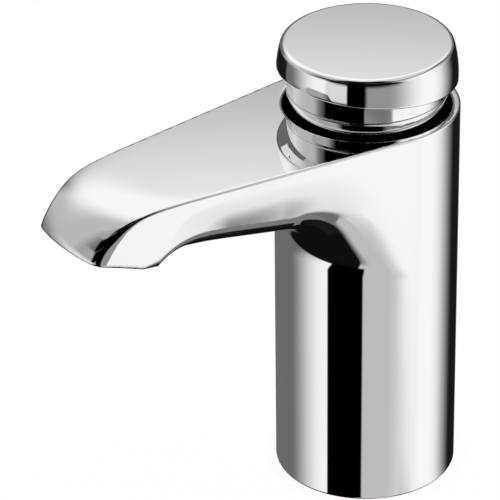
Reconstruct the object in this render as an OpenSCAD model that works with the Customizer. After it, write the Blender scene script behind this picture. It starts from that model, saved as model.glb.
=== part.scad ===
// Self-closing push-button basin tap: a cast column with a flat-topped spout,
// a push button on a sprung spindle, and a timed cartridge inside the column.
// Origin at the centre of the base, on the deck. +Z is up and the spout points along -Y.
// In the comments "reach" is the distance from the column's axis along the spout.

/* [Column and spout] */
// Outer diameter of the round column
column_d = 48; // [46:1:54]
// Height of the flat top above the deck
body_h = 107; // [102:1:120]
// Reach of the front of the spout
spout_reach = 94; // [88:1:110]
// Angle by which each side of the spout draws in towards the nose
spout_taper = 6.8; // [5:0.1:8]
// Depth of the spout where it leaves the column
root_depth = 22; // [21:0.5:28]
// Depth of the spout just behind the outlet boss
neck_depth = 13.6; // [13.5:0.1:16]
// Radius of the fillet between the column and the underside
root_fillet_r = 12; // [6:1:16]
// Radius along the lower edges of the spout
belly_edge_r = 6; // [3:0.5:8]

/* [Nose and outlet] */
// Radius of the nose's corners, seen from above
nose_corner_r = 4; // [3.5:0.5:8]
// Radius of the bowed front, seen from above
nose_bow_r = 38; // [32:1:60]
// Radius by which the flat top turns down into the front
nose_drop_r = 18; // [15:0.5:22]
// Distance of the outlet's centre behind the front of the spout
outlet_setback = 11.5; // [10.5:0.1:13]
// Depth of the outlet's centre below the flat top
outlet_drop = 14.4; // [14:0.1:16]
// Angle by which the outlet faces forward
outlet_tilt = 23.3; // [15:0.1:28]
// Distance of the boss's back edge behind the outlet's centre
boss_back = 8.3; // [8:0.1:10]
// Angle of the boss's back face from level
boss_back_angle = 50; // [35:1:60]
// Radius along the lower edges of the outlet boss
boss_edge_r = 1.2; // [1:0.1:3]

/* [Waterways] */
// Diameter of the bore that holds the cartridge
chamber_d = 30; // [29:0.5:32]
// Diameter of the threaded mouth above the chamber
mouth_d = 34; // [33:0.5:36]
// Length of the threaded mouth
mouth_len = 4; // [3:0.5:6]
// Diameter of the well that the button sinks into
well_d = 43.6; // [43:0.1:44.5]
// Depth of the well
well_depth = 8; // [7:0.5:10]
// Diameter of the bore along the spout
waterway_d = 7.2; // [5:0.2:8]
// Diameter of the aerator's socket
socket_d = 15; // [14:0.5:15.5]
// Depth of the aerator's socket
socket_depth = 8; // [7:0.5:9]

/* [Base and fixing] */
// Diameter of the gasket recess under the base
recess_d = 41; // [39:0.5:42]
// Depth of the gasket recess
recess_depth = 3; // [2:0.5:5]
// Thickness of the floor that the tail screws into
floor_t = 10; // [8:0.5:14]
// Width of the base gasket's ring
gasket_w = 3.3; // [2.5:0.1:4]
// Outer diameter of the half-inch threaded tail
tail_d = 20.8; // [20:0.1:21.5]
// Bore of the tail
tail_bore = 11.6; // [10:0.2:13]
// Length of the tail below the deck
tail_len = 65; // [64:1:80]
// Length of the inlet's thread, below its run-out groove
inlet_thread = 15; // [12:1:18]
// Width across flats of the tail's collar
collar_af = 27; // [25:0.5:28]
// Thickness of the deck that the tap is clamped to
deck_t = 32; // [5:1:33]
// Outer diameter of the soft washer under the deck
deck_washer_d = 42; // [36:1:48]
// Thickness of the soft washer
deck_washer_t = 3; // [2:0.5:4]
// Outer diameter of the metal washer
clamp_washer_d = 38; // [34:1:44]
// Thickness of the metal washer
clamp_washer_t = 2; // [1.5:0.5:3]
// Width across flats of the back nut
backnut_af = 32; // [30:1:36]
// Height of the back nut
backnut_h = 9; // [7:0.5:11]

/* [Button] */
// Height of the button's top above the flat top of the body
button_h = 17.3; // [17:0.1:22]
// Diameter to which the button's skirt draws in at the top
button_top_d = 44.2; // [44:0.1:46.2]
// Diameter of the button's skirt at its widest
button_d = 46.8; // [46.5:0.1:47.8]
// Radius of the rim round the button's top
rim_r = 1.2; // [0.4:0.1:1.2]
// Height of the skirt's lower edge over the body, on the axis
skirt_gap = 8.5; // [7.6:0.1:9]
// Angle by which the skirt's lower edge rises towards the spout
skirt_tilt = 5.6; // [3:0.1:7.2]
// Outer diameter of the button's neck
neck_d = 41.6; // [41:0.1:42]
// Wall of the neck and of the sleeve below it
neck_wall = 1.5; // [1.2:0.1:1.7]
// Height of the joint line between neck and sleeve, over the body
joint_line_h = 4.2; // [3.5:0.1:4.4]
// Travel of the button
stroke = 4.5; // [3.5:0.1:4.5]
// Clearance under the sleeve at the end of the travel
sleeve_clear = 0.5; // [0.4:0.1:1]
// Thickness of the button's top
cap_top_t = 3; // [2.5:0.1:4]
// Diameter of the boss inside the button
cap_boss_d = 17; // [15:0.5:19]

/* [Cartridge] */
// Diameter of the cartridge's barrel
barrel_d = 26.8; // [26.4:0.1:27.4]
// Bore of the timing cylinder
cylinder_d = 23; // [22:0.1:23.2]
// Height of the cartridge's lower land
land_h = 21; // [20:0.5:24]
// Height of the valve seat's face over the chamber's floor
seat_h = 15; // [14.5:0.1:16]
// Bore of the valve seat
seat_bore = 11; // [9:0.2:11.4]
// Outer diameter of the valve seat
seat_d = 17; // [16:0.2:17.6]
// Thickness of the webs across the cartridge
web_t = 4; // [3:0.5:4.5]
// Height of the flow chamber above the seat
flow_h = 12; // [10:0.5:14]
// Diameter of the valve rod
rod_d = 6; // [5:0.2:6.4]
// Diameter of the spindle
spindle_d = 10; // [9:0.2:10.6]
// Height of the return spring's space
spring_h = 30; // [26:0.5:31]
// Wire diameter of the return spring
spring_wire = 1.6; // [1.2:0.1:1.8]
// Mean diameter of the return spring
spring_d = 17.2; // [16.4:0.1:18]
// Turns of the return spring
spring_turns = 5.5; // [4.5:0.5:6.5]
// Cross-section diameter of the cartridge's O-rings
o_ring_cs = 2; // [1.6:0.1:2.4]
// Number of side windows in the cartridge
window_count = 4; // [3:1:6]

/* [Bonnet] */
// Diameter of the bonnet's flange
bonnet_d = 36.8; // [36:0.1:37.4]
// Thickness of the bonnet's flange
bonnet_t = 3; // [2.5:0.1:3.2]
// Thickness of the washer under the bonnet
bonnet_washer_t = 1; // [0.8:0.1:1.2]
// Outer diameter of the spindle's bush
bush_d = 15; // [14:0.2:16]

/* [Aerator] */
// Diameter of the aerator's rim
aerator_d = 16.4; // [15.8:0.1:17]
// Length by which the rim stands below the outlet
aerator_rim_h = 2.8; // [2:0.1:4]
// Bore of the aerator's housing
aerator_bore = 12; // [11:0.2:12.6]
// Length of the aerator's thread
aerator_thread = 6; // [5:0.5:6.5]
// Pitch of the mesh's openings
mesh_pitch = 1.7; // [1.5:0.1:2.2]

/* [Fits] */
// Running clearance of a moving round piece, on the radius
run_fit = 0.05; // [0.02:0.01:0.1]
// Assembly clearance of a fixed round piece, on the radius
slip_fit = 0.1; // [0.05:0.05:0.2]
// Loose clearance of a washer round the tail, on the radius
washer_fit = 0.5; // [0.3:0.1:0.8]
// Gap of the closed valve and of the threaded joints seen as lines
seat_gap = 0.1; // [0.05:0.05:0.2]

/* [Hidden] */
$fn = 96;

// Room past a face, so that a cut goes right through it
over = 1;
// Distance by which the spout's sides start inside the column, so that they cross its surface
side_sink = 0.12;
// Half corner of a hexagon for its width across flats
hex_corner = 1 / cos(30) / 2;

// Column and its cavities
column_r = column_d / 2;
chamber_r = chamber_d / 2;
mouth_r = mouth_d / 2;
well_r = well_d / 2;
tail_r = tail_d / 2;
// The strainer stands on a step this much wider than the tail's bore
strainer_step = 0.6;
strainer_r = tail_bore / 2 + strainer_step;
floor_z = recess_depth + floor_t;
well_z = body_h - well_depth;
mouth_z = well_z - mouth_len;

// Spout seen from above: half width at a reach of zero, and the nose's front circle
side_w0 = column_r / cos(spout_taper) - side_sink;
side_start = column_r * sin(spout_taper);
front_c = spout_reach - nose_bow_r;
function side_w(u) = side_w0 - u * tan(spout_taper);

// Spout seen from the side: outlet plane, boss and underside as heights over the reach
outlet_u = spout_reach - outlet_setback;
outlet_z = body_h - outlet_drop;
boss_u = outlet_u - boss_back;
boss_z = outlet_z - boss_back * tan(outlet_tilt);
neck_z = body_h - neck_depth;
root_z = body_h - root_depth;
neck_u = boss_u - (neck_z - boss_z) / tan(boss_back_angle);
belly_slope = (neck_z - root_z) / (neck_u - column_r);
// Reach over which the underside bends into the boss
boss_bend = 5;
function belly_line(u) = root_z + (u - column_r) * belly_slope;
function back_line(u) = boss_z + (boss_u - u) * tan(boss_back_angle);
function front_line(u) = boss_z + (u - boss_u) * tan(outlet_tilt);
function bend(a, b) = let (h = max(boss_bend - abs(a - b), 0) / boss_bend) h * h * boss_bend / 4;
function under_z(u) =
    u > boss_u ? front_line(u) : min(belly_line(u), back_line(u)) - bend(belly_line(u), back_line(u));
function edge_r(u) =
    u > boss_u ? boss_edge_r
    : belly_edge_r + (boss_edge_r - belly_edge_r) * max(0, 1 - (boss_u - u) / boss_bend);

// Nose: the front circle's profile, which meets the outlet plane at the full reach
front_z = front_line(spout_reach);
drop_c = nose_bow_r - sqrt(pow(nose_drop_r, 2) - pow(front_z - body_h + nose_drop_r, 2));

// Nose corner circle, tangent to the side and inside the front circle
corner_a = side_w0 - nose_corner_r / cos(spout_taper);
corner_t = tan(spout_taper);
corner_b = corner_a * corner_t + front_c;
corner_q = 1 + corner_t * corner_t;
corner_k = pow(corner_a, 2) + pow(front_c, 2) - pow(nose_bow_r - nose_corner_r, 2);
corner_u = (corner_b + sqrt(corner_b * corner_b - corner_q * corner_k)) / corner_q;
corner_x = corner_a - corner_u * corner_t;

// Button and its travel
button_z = body_h + button_h;
skirt_z = body_h + skirt_gap;
joint_z = body_h + joint_line_h;
sleeve_z = well_z + stroke + sleeve_clear;
neck_r = neck_d / 2;
neck_in_r = neck_r - neck_wall;
cap_in_z = button_z - cap_top_t;
spigot_len = 3;

// Cartridge heights
cart_r = chamber_r - slip_fit;
land_z = floor_z + land_h;
seat_z = floor_z + seat_h;
flow_z = seat_z + web_t;
guide_z = flow_z + flow_h;
spring_z = guide_z + web_t;
piston_z = spring_z + spring_h;
rod_r = rod_d / 2;
spindle_r = spindle_d / 2;
cylinder_r = cylinder_d / 2;
piston_r = cylinder_r - run_fit;
piston_t = 5;
collar_r = spindle_r + 2;
collar_t = 2;
cup_t = 4;
cup_lip = 1.5;
piston_nut_t = 3.5;
piston_nut_af = 16;
seat_lip = 0.8;
seat_lip_w = 1.2;
cage_wall = 4;
cage_r = chamber_r - cage_wall;
poppet_t = 3;
poppet_z = seat_z - seat_lip - seat_gap - poppet_t;
poppet_lap = 2.1;
poppet_r = seat_bore / 2 + poppet_lap;
holder_wall = 0.8;
holder_t = 2.7;
poppet_nut_t = 3;
poppet_nut_af = 8;
poppet_step = 0.5;
poppet_thread_r = rod_r - poppet_step;
rod_tip = 0.5;
window_w = 7;
window_margin = 2.5;
groove_inset = 6;

// Bonnet heights
bonnet_z = well_z + bonnet_washer_t;
bonnet_top = bonnet_z + bonnet_t;
bush_r = bush_d / 2;
bush_t = 5.5;
stem_ring_cs = 2;

// Inside the button: boss, lock nut and the spindle's end
lock_nut_room = 5.5;
cap_boss_z = bonnet_top + stroke + lock_nut_room;
lock_nut_t = 4;
lock_nut_af = 15;
spindle_end_room = 2;
spindle_end = cap_in_z - spindle_end_room;

// Aerator: the housing's lip and the mesh disc that rests on it
aerator_lip = 0.6;
mesh_t = 0.8;
mesh_z = aerator_lip - aerator_rim_h;

// Colours as seen
chrome = "silver";
brass = "goldenrod";
rubber = "#2a2a2a";
acetal = "ivory";
steel = "lightsteelblue";

// A ring between two radii and two heights
module ring(r_in, r_out, z_low, z_high) {
    rotate_extrude()
        translate([r_in, z_low]) square([r_out - r_in, z_high - z_low]);
}

// An O-ring that fills the space between two radii at a height
module o_ring(r_in, cs, z) {
    rotate_extrude()
        translate([r_in + cs / 2, z]) circle(d = cs, $fn = 32);
}

// A hexagon nut with a round bore
module hex_nut(af, bore_r, z, t) {
    difference() {
        translate([0, 0, z]) cylinder(r = af * hex_corner, h = t, $fn = 6);
        translate([0, 0, z - over]) cylinder(r = bore_r, h = t + 2 * over);
    }
}

// The spout's outline from above, drawn with the reach along +Y
module spout_plan() {
    side_x = corner_x + nose_corner_r * cos(spout_taper);
    side_u = corner_u + nose_corner_r * sin(spout_taper);
    front_k = nose_bow_r / (nose_bow_r - nose_corner_r);
    front_x = corner_x * front_k;
    front_u = front_c + (corner_u - front_c) * front_k;
    polygon([
        [-side_w(side_start), side_start], [side_w(side_start), side_start],
        [side_x, side_u], [front_x, front_u],
        [-front_x, front_u], [-side_x, side_u]
    ]);
    for (s = [-1, 1]) translate([s * corner_x, corner_u]) circle(r = nose_corner_r);
    intersection() {
        translate([0, front_c]) circle(r = nose_bow_r);
        polygon([[-front_x, front_u], [0, 0], [front_x, front_u], [0, 2 * spout_reach]]);
    }
}

// The top and front of the spout: a turned form about the front circle's centre, and a block behind it
module nose_form() {
    half = nose_bow_r + nose_drop_r;
    translate([0, -front_c, 0]) rotate_extrude() difference() {
        translate([0, floor_z]) square([half, body_h - floor_z]);
        difference() {
            translate([drop_c, body_h - nose_drop_r]) square(nose_drop_r * 3);
            translate([drop_c, body_h - nose_drop_r]) circle(r = nose_drop_r);
        }
    }
    translate([-half, -front_c, floor_z]) cube([2 * half, front_c, body_h - floor_z]);
}

// Everything above the spout's underside, lofted through sections across the reach.
// Near the column each section is drawn down by the fillet, by its distance from the column.
module underside_form() {
    start_u = side_start + over / 2;
    end_u = spout_reach + nose_corner_r;
    top_z = body_h + nose_corner_r;
    side_over = 0.1;
    arc_steps = 6;
    flat_steps = 6;
    root_steps = 14;
    bend_steps = 10;
    boss_step = 0.4;
    root_end = column_r + root_fillet_r;
    bend_from = max(neck_u - 2 * boss_bend, root_end + over);
    stations = concat(
        [for (i = [0 : root_steps]) start_u + (root_end - start_u) * i / root_steps],
        [for (i = [0 : bend_steps]) bend_from + (boss_u - bend_from) * i / bend_steps],
        [boss_u + boss_step, end_u]
    );
    section_n = 2 * arc_steps + flat_steps + 3;
    points = [for (u = stations) each under_section(u, side_w(u) + side_over, top_z, arc_steps, flat_steps)];
    last = (len(stations) - 1) * section_n;
    skin = [
        for (k = [0 : len(stations) - 2], i = [0 : section_n - 1])
            let (a = k * section_n + i, b = k * section_n + (i + 1) % section_n)
                each [[a, b + section_n, b], [a, a + section_n, b + section_n]]
    ];
    caps = [
        for (i = [1 : section_n - 2]) each [[0, i, i + 1], [last, last + i + 1, last + i]]
    ];
    polyhedron(points = points, faces = concat(skin, caps));
}

// Drop of the fillet at a distance from the column's axis; it crosses the column at a slant
fillet_bite = 0.06 * root_fillet_r;
function root_drop(d) =
    let (t = min(max(root_fillet_r - fillet_bite - d + column_r, 0), root_fillet_r))
        root_fillet_r - sqrt(pow(root_fillet_r, 2) - t * t);
// One section across the spout: top corner, rounded lower edges with a flat between, top corner
function under_section(u, w, top_z, arc_n, flat_n) =
    let (
        r = edge_r(u),
        z = under_z(u),
        low = concat(
            [for (i = [0 : arc_n]) [-w + r - r * cos(90 * i / arc_n), z + r - r * sin(90 * i / arc_n)]],
            [for (i = [1 : flat_n - 1]) [(w - r) * (2 * i / flat_n - 1), z]],
            [for (i = [0 : arc_n]) [w - r + r * sin(90 * i / arc_n), z + r - r * cos(90 * i / arc_n)]]
        )
    )
    concat(
        [[-w, -u, top_z]],
        [for (p = low) [p[0], -u, p[1] - root_drop(norm([p[0], u]))]],
        [[w, -u, top_z]]
    );

// Places what follows on the outlet, with -Z pointing out of it
module at_outlet() {
    translate([0, -outlet_u, outlet_z]) rotate([-outlet_tilt, 0, 0]) children();
}

// Straight bore from the chamber to the aerator's socket
module waterway() {
    from = [chamber_r, mouth_z - waterway_d / 2];
    to = [outlet_u - socket_depth * sin(outlet_tilt), outlet_z + socket_depth * cos(outlet_tilt)];
    run = to - from;
    lead = chamber_r / 2;
    rise = atan2(run[1], run[0]);
    translate([0, -from[0], from[1]]) rotate([90 - rise, 0, 0])
        translate([0, 0, -lead]) cylinder(d = waterway_d, h = norm(run) + lead);
}

// Chromed brass casting: column, spout, well, chamber and waterway in one piece
module body_casting() {
    base_edge = 0.5;
    color(chrome) difference() {
        union() {
            rotate_extrude() polygon([
                [0, 0], [column_r - base_edge, 0], [column_r, base_edge], [column_r, body_h], [0, body_h]
            ]);
            intersection() {
                mirror([0, 1, 0]) translate([0, 0, floor_z])
                    linear_extrude(body_h - floor_z) spout_plan();
                nose_form();
                underside_form();
            }
        }
        translate([0, 0, well_z]) cylinder(r = well_r, h = well_depth + over);
        translate([0, 0, mouth_z]) cylinder(r = mouth_r, h = mouth_len + over);
        translate([0, 0, floor_z]) cylinder(r = chamber_r, h = mouth_z - floor_z + over);
        translate([0, 0, -over]) cylinder(r = tail_r, h = floor_z + 2 * over);
        translate([0, 0, -over]) cylinder(d = recess_d, h = recess_depth + over);
        waterway();
        at_outlet() translate([0, 0, -over]) cylinder(d = socket_d, h = socket_depth + over);
    }
}

// Soft ring in the base's recess that seals the tap to the deck
module base_gasket() {
    r = recess_d / 2 - slip_fit;
    color(rubber) ring(r - gasket_w, r, 0, recess_depth);
}

// Threaded inlet tail, screwed into the casting's floor up to its hexagon collar.
// A run-out groove parts the inlet's thread from the fixing thread.
module inlet_tail() {
    groove_w = 2;
    groove_d = 0.8;
    color(brass) difference() {
        union() {
            translate([0, 0, -tail_len]) cylinder(r = tail_r, h = tail_len + floor_z);
            cylinder(r = collar_af * hex_corner, h = recess_depth, $fn = 6);
        }
        translate([0, 0, -tail_len - over]) cylinder(d = tail_bore, h = tail_len + floor_z + 2 * over);
        translate([0, 0, recess_depth]) cylinder(r = strainer_r + slip_fit, h = floor_t + over);
        ring(tail_r - groove_d, tail_r + over, -tail_len + inlet_thread, -tail_len + inlet_thread + groove_w);
    }
}

// Soft washer under the deck
module deck_washer() {
    color(rubber) ring(tail_r + washer_fit, deck_washer_d / 2, -deck_t - deck_washer_t, -deck_t);
}

// Metal washer between the soft washer and the back nut
module clamp_washer() {
    z = -deck_t - deck_washer_t;
    color(steel) ring(tail_r + washer_fit, clamp_washer_d / 2, z - clamp_washer_t, z);
}

// Hexagon back nut on the tail
module backnut() {
    z = -deck_t - deck_washer_t - clamp_washer_t - backnut_h;
    color(brass) hex_nut(backnut_af, tail_r, z, backnut_h);
}

// Cup with a perforated bottom that sits on the step in the tail's bore
module inlet_strainer() {
    wall = 0.8;
    hole_d = 2;
    ring_n = 6;
    color(acetal) difference() {
        translate([0, 0, recess_depth]) cylinder(r = strainer_r, h = floor_t - over);
        translate([0, 0, recess_depth + wall]) cylinder(r = strainer_r - wall, h = floor_t);
        translate([0, 0, recess_depth - over]) cylinder(d = hole_d, h = wall + 2 * over);
        for (i = [0 : ring_n - 1]) rotate(i * 360 / ring_n)
            translate([tail_bore / 4 + hole_d / 4, 0, recess_depth - over])
                cylinder(d = hole_d, h = wall + 2 * over);
    }
}

// Cartridge housing: lower land with O-ring grooves, seat web, windows and timing cylinder
module cartridge_housing() {
    groove_r = cart_r - o_ring_cs;
    color(acetal) difference() {
        rotate_extrude() difference() {
            union() {
                translate([0, floor_z]) square([cart_r, land_h]);
                translate([0, floor_z]) square([barrel_d / 2, mouth_z - floor_z]);
            }
            translate([-over, floor_z - over]) square([cage_r + over, seat_h + over]);
            translate([-over, seat_z - over]) square([seat_d / 2 + over, web_t + 2 * over]);
            translate([-over, flow_z]) square([cylinder_r - web_t / 2 + over, flow_h]);
            translate([-over, guide_z - over]) square([rod_r + run_fit + over, web_t + 2 * over]);
            translate([-over, spring_z]) square([cylinder_r + over, mouth_z]);
            for (z = [floor_z + groove_inset, land_z - groove_inset])
                translate([groove_r, z - o_ring_cs / 2]) square([o_ring_cs + over, o_ring_cs]);
        }
        for (i = [0 : window_count - 1]) rotate(45 + i * 360 / window_count)
            translate([0, -window_w / 2, flow_z + window_margin])
                cube([chamber_r, window_w, flow_h - window_margin - over]);
    }
}

// Two O-rings in the grooves of the lower land
module cartridge_o_rings() {
    color(rubber) for (z = [floor_z + groove_inset, land_z - groove_inset])
        o_ring(cart_r - o_ring_cs + slip_fit / 2, o_ring_cs, z);
}

// Brass valve seat in the cartridge's lower web, with a raised lip that faces down
module valve_seat() {
    r = seat_bore / 2;
    color(brass) rotate_extrude() polygon([
        [r, seat_z - seat_lip], [r + seat_lip_w, seat_z - seat_lip], [r + seat_lip_w, seat_z],
        [seat_d / 2, seat_z], [seat_d / 2, flow_z], [r, flow_z]
    ]);
}

// Bonnet that screws into the mouth, clamps the cartridge and guides the spindle
module bonnet() {
    slot_w = 4;
    slot_d = 1.5;
    slot_n = 4;
    color(brass) difference() {
        rotate_extrude() difference() {
            union() {
                translate([0, mouth_z]) square([mouth_r - slip_fit, mouth_len + bonnet_washer_t]);
                translate([0, bonnet_z]) square([bonnet_d / 2, bonnet_t]);
            }
            translate([-over, mouth_z - over]) square([spindle_r + run_fit + over, mouth_len * 4]);
            translate([-over, bonnet_top - bush_t]) square([bush_r + over, bush_t + over]);
        }
        for (i = [0 : slot_n - 1]) rotate(i * 360 / slot_n)
            translate([bush_r + slot_w / 2, -slot_w / 2, bonnet_top - slot_d])
                cube([bonnet_d, slot_w, slot_d + over]);
    }
}

// Flat washer that seals the bonnet on the well's floor
module bonnet_washer() {
    color(rubber) ring(mouth_r, bonnet_d / 2, well_z, bonnet_z);
}

// Low-friction bush round the spindle, over the spindle's O-ring
module spindle_bush() {
    color(acetal) ring(spindle_r + run_fit, bush_r, bonnet_top - bush_t + stem_ring_cs, bonnet_top);
}

// O-ring round the spindle, held under the bush
module spindle_o_ring() {
    color(rubber) o_ring(spindle_r + run_fit, stem_ring_cs, bonnet_top - bush_t + stem_ring_cs / 2);
}

// Chromed aerator housing, screwed into the outlet up to its rim
module aerator_housing() {
    r_in = aerator_bore / 2;
    r_out = aerator_d / 2;
    color(chrome) at_outlet() rotate_extrude() polygon([
        [r_in - aerator_lip, -aerator_rim_h], [r_out - aerator_lip, -aerator_rim_h],
        [r_out, mesh_z], [r_out, 0], [socket_d / 2, 0],
        [socket_d / 2, aerator_thread], [r_in, aerator_thread],
        [r_in, mesh_z], [r_in - aerator_lip, mesh_z]
    ]);
}

// Rubber ring between the aerator's housing and the end of the socket
module aerator_seal() {
    color(rubber) at_outlet()
        ring(aerator_bore / 2 - over, socket_d / 2 - slip_fit, aerator_thread, socket_depth);
}

// Plastic jet insert with a ring of bores
module aerator_insert() {
    jet_n = 8;
    jet_d = 2;
    z = mesh_z + mesh_t;
    color(acetal) at_outlet() difference() {
        translate([0, 0, z]) cylinder(r = aerator_bore / 2 - slip_fit, h = aerator_thread - z);
        for (i = [0 : jet_n - 1]) rotate(i * 360 / jet_n)
            translate([aerator_bore / 3, 0, z - over])
                cylinder(d = jet_d, h = aerator_thread - z + 2 * over, $fn = 24);
    }
}

// Mesh disc at the mouth of the aerator
module aerator_mesh() {
    bar = 0.6;
    r = aerator_bore / 2 - slip_fit;
    opening = mesh_pitch - bar;
    n = floor((r - bar) / mesh_pitch);
    color(steel) at_outlet() difference() {
        translate([0, 0, mesh_z]) cylinder(r = r, h = mesh_t);
        for (i = [-n : n], j = [-n : n])
            if (norm([abs(i) * mesh_pitch + opening / 2, abs(j) * mesh_pitch + opening / 2]) < r - bar)
                translate([i * mesh_pitch - opening / 2, j * mesh_pitch - opening / 2, mesh_z - over])
                    cube([opening, opening, mesh_t + 2 * over]);
    }
}

// Radius of the button's skirt at a height: full below the slant's middle, drawing in above it
function skirt_r(z) =
    let (t = max(z - skirt_z, 0) / (button_z - skirt_z))
        button_d / 2 - (button_d - button_top_d) / 2 * t * t;

// Chromed button: flat top, flared skirt cut off at a slant, neck and inner boss
module button_cap() {
    far = 2 * button_d;
    flare_steps = 6;
    rim_steps = 4;
    rim_z = button_z - rim_r;
    flat_r = skirt_r(rim_z) - rim_r;
    color(chrome) difference() {
        union() {
            difference() {
                rotate_extrude() polygon(concat(
                    [[0, button_z], [0, joint_z], [button_d / 2, joint_z]],
                    [for (i = [0 : flare_steps])
                        let (z = skirt_z + (rim_z - skirt_z) * i / flare_steps) [skirt_r(z), z]],
                    [for (i = [1 : rim_steps])
                        let (a = 90 * i / rim_steps) [flat_r + rim_r * cos(a), rim_z + rim_r * sin(a)]]
                ));
                translate([0, 0, skirt_z]) rotate([-skirt_tilt, 0, 0])
                    translate([-far / 2, -far / 2, -far]) cube(far);
            }
            translate([0, 0, joint_z + seat_gap])
                cylinder(r = neck_r, h = cap_in_z - joint_z - seat_gap);
        }
        difference() {
            translate([0, 0, joint_z - over]) cylinder(r = neck_in_r, h = cap_in_z - joint_z + over);
            translate([0, 0, cap_boss_z]) cylinder(d = cap_boss_d, h = cap_in_z - cap_boss_z + over);
        }
        translate([0, 0, joint_z - over])
            cylinder(r = neck_in_r + neck_wall / 2, h = spigot_len + over + seat_gap);
        translate([0, 0, cap_boss_z - over]) cylinder(r = spindle_r, h = spindle_end - cap_boss_z + over);
    }
}

// Chromed sleeve below the joint line, with a spigot inside the button's neck
module button_sleeve() {
    edge = 0.3;
    spigot_r = neck_in_r + neck_wall / 2;
    color(chrome) rotate_extrude() polygon([
        [neck_in_r, sleeve_z], [neck_r - edge, sleeve_z], [neck_r, sleeve_z + edge],
        [neck_r, joint_z - edge], [neck_r - edge, joint_z], [spigot_r, joint_z],
        [spigot_r, joint_z + spigot_len], [neck_in_r, joint_z + spigot_len]
    ]);
}

// Nut that locks the spindle under the button's boss
module cap_lock_nut() {
    color(steel) hex_nut(lock_nut_af, spindle_r, cap_boss_z - lock_nut_t, lock_nut_t);
}

// Spindle: thick upper part, collar under the piston, rod and a thread for the poppet
module spindle() {
    tip_z = poppet_z - holder_t - poppet_nut_t - rod_tip;
    color(steel) rotate_extrude() polygon([
        [0, tip_z], [poppet_thread_r, tip_z], [poppet_thread_r, poppet_z + poppet_t],
        [rod_r, poppet_z + poppet_t], [rod_r, piston_z - collar_t], [collar_r, piston_z - collar_t],
        [collar_r, piston_z], [spindle_r, piston_z], [spindle_r, spindle_end], [0, spindle_end]
    ]);
}

// Timing piston on the collar, with a bleed notch in its edge
module piston() {
    notch = 0.8;
    color(acetal) difference() {
        ring(spindle_r, piston_r, piston_z, piston_z + piston_t);
        translate([0, cylinder_r, piston_z - over]) cylinder(r = notch, h = piston_t + 2 * over);
    }
}

// Rubber cup seal on the piston, its lip against the cylinder
module piston_cup_seal() {
    z = piston_z + piston_t;
    color(rubber) rotate_extrude() polygon([
        [spindle_r, z], [piston_r, z], [piston_r, z + cup_t], [piston_r - cup_lip / 2, z + cup_t],
        [piston_r - cup_lip, z + cup_lip], [spindle_r, z + cup_lip]
    ]);
}

// Nut that clamps the cup seal and the piston to the collar
module piston_nut() {
    color(steel) hex_nut(piston_nut_af, spindle_r, piston_z + piston_t + cup_lip, piston_nut_t);
}

// Brass cup that carries the poppet washer
module poppet_holder() {
    z = poppet_z - holder_t;
    color(brass) rotate_extrude() polygon([
        [poppet_thread_r, z], [poppet_r + holder_wall, z],
        [poppet_r + holder_wall, poppet_z + poppet_t / 2],
        [poppet_r, poppet_z + poppet_t / 2], [poppet_r, poppet_z], [poppet_thread_r, poppet_z]
    ]);
}

// Rubber washer that closes on the seat's lip
module poppet_washer() {
    color(rubber) ring(poppet_thread_r, poppet_r, poppet_z, poppet_z + poppet_t);
}

// Nut that holds the poppet on the rod
module poppet_nut() {
    color(steel) hex_nut(poppet_nut_af, poppet_thread_r, poppet_z - holder_t - poppet_nut_t, poppet_nut_t);
}

// Return spring: one round wire along a helix, with a straight lead at each end
rings_a_turn = 8;
wire_sides = 6;
helix_r = spring_d / 2;
helix_rise = spring_h - spring_wire - 2 * seat_gap;
helix_n = spring_turns * rings_a_turn;
function on_helix(i) = let (a = 360 * i / rings_a_turn)
    [helix_r * cos(a), helix_r * sin(a), spring_z + seat_gap + spring_wire / 2 + helix_rise * i / helix_n];
function along(i) = let (a = 360 * i / rings_a_turn) [-sin(a), cos(a), 0];
wire_path = concat(
    [on_helix(0) - spring_wire * along(0)],
    [for (i = [0 : helix_n]) on_helix(i)],
    [on_helix(helix_n) + spring_wire * along(helix_n)]
);
wire_turns = concat([0], [for (i = [0 : helix_n]) i], [helix_n]);
spring_self_gap = min([
    for (i = [0 : helix_n], j = [0 : helix_n])
        if (j - i > rings_a_turn / 2) norm(on_helix(i) - on_helix(j))
]) - spring_wire;
module return_spring() {
    echo(spring_self_gap = spring_self_gap);
    last = len(wire_path) - 1;
    points = [
        for (k = [0 : last], s = [0 : wire_sides - 1])
            let (a = 360 * wire_turns[k] / rings_a_turn, b = 360 * s / wire_sides)
                wire_path[k] + spring_wire / 2 * (cos(b) * [cos(a), sin(a), 0] + sin(b) * [0, 0, 1])
    ];
    skin = [
        for (k = [0 : last - 1], s = [0 : wire_sides - 1])
            let (a = k * wire_sides + s, b = k * wire_sides + (s + 1) % wire_sides)
                each [[a, b, b + wire_sides], [a, b + wire_sides, a + wire_sides]]
    ];
    caps = [
        for (s = [1 : wire_sides - 2])
            each [[0, s + 1, s], [last * wire_sides, last * wire_sides + s, last * wire_sides + s + 1]]
    ];
    color(steel) polyhedron(points = points, faces = concat(skin, caps));
}

body_casting();
base_gasket();
inlet_tail();
deck_washer();
clamp_washer();
backnut();
inlet_strainer();
cartridge_housing();
cartridge_o_rings();
valve_seat();
bonnet();
bonnet_washer();
spindle_bush();
spindle_o_ring();
aerator_housing();
aerator_seal();
aerator_insert();
aerator_mesh();
button_cap();
button_sleeve();
cap_lock_nut();
spindle();
piston();
piston_cup_seal();
piston_nut();
poppet_holder();
poppet_washer();
poppet_nut();
return_spring();
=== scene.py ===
import math

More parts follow.
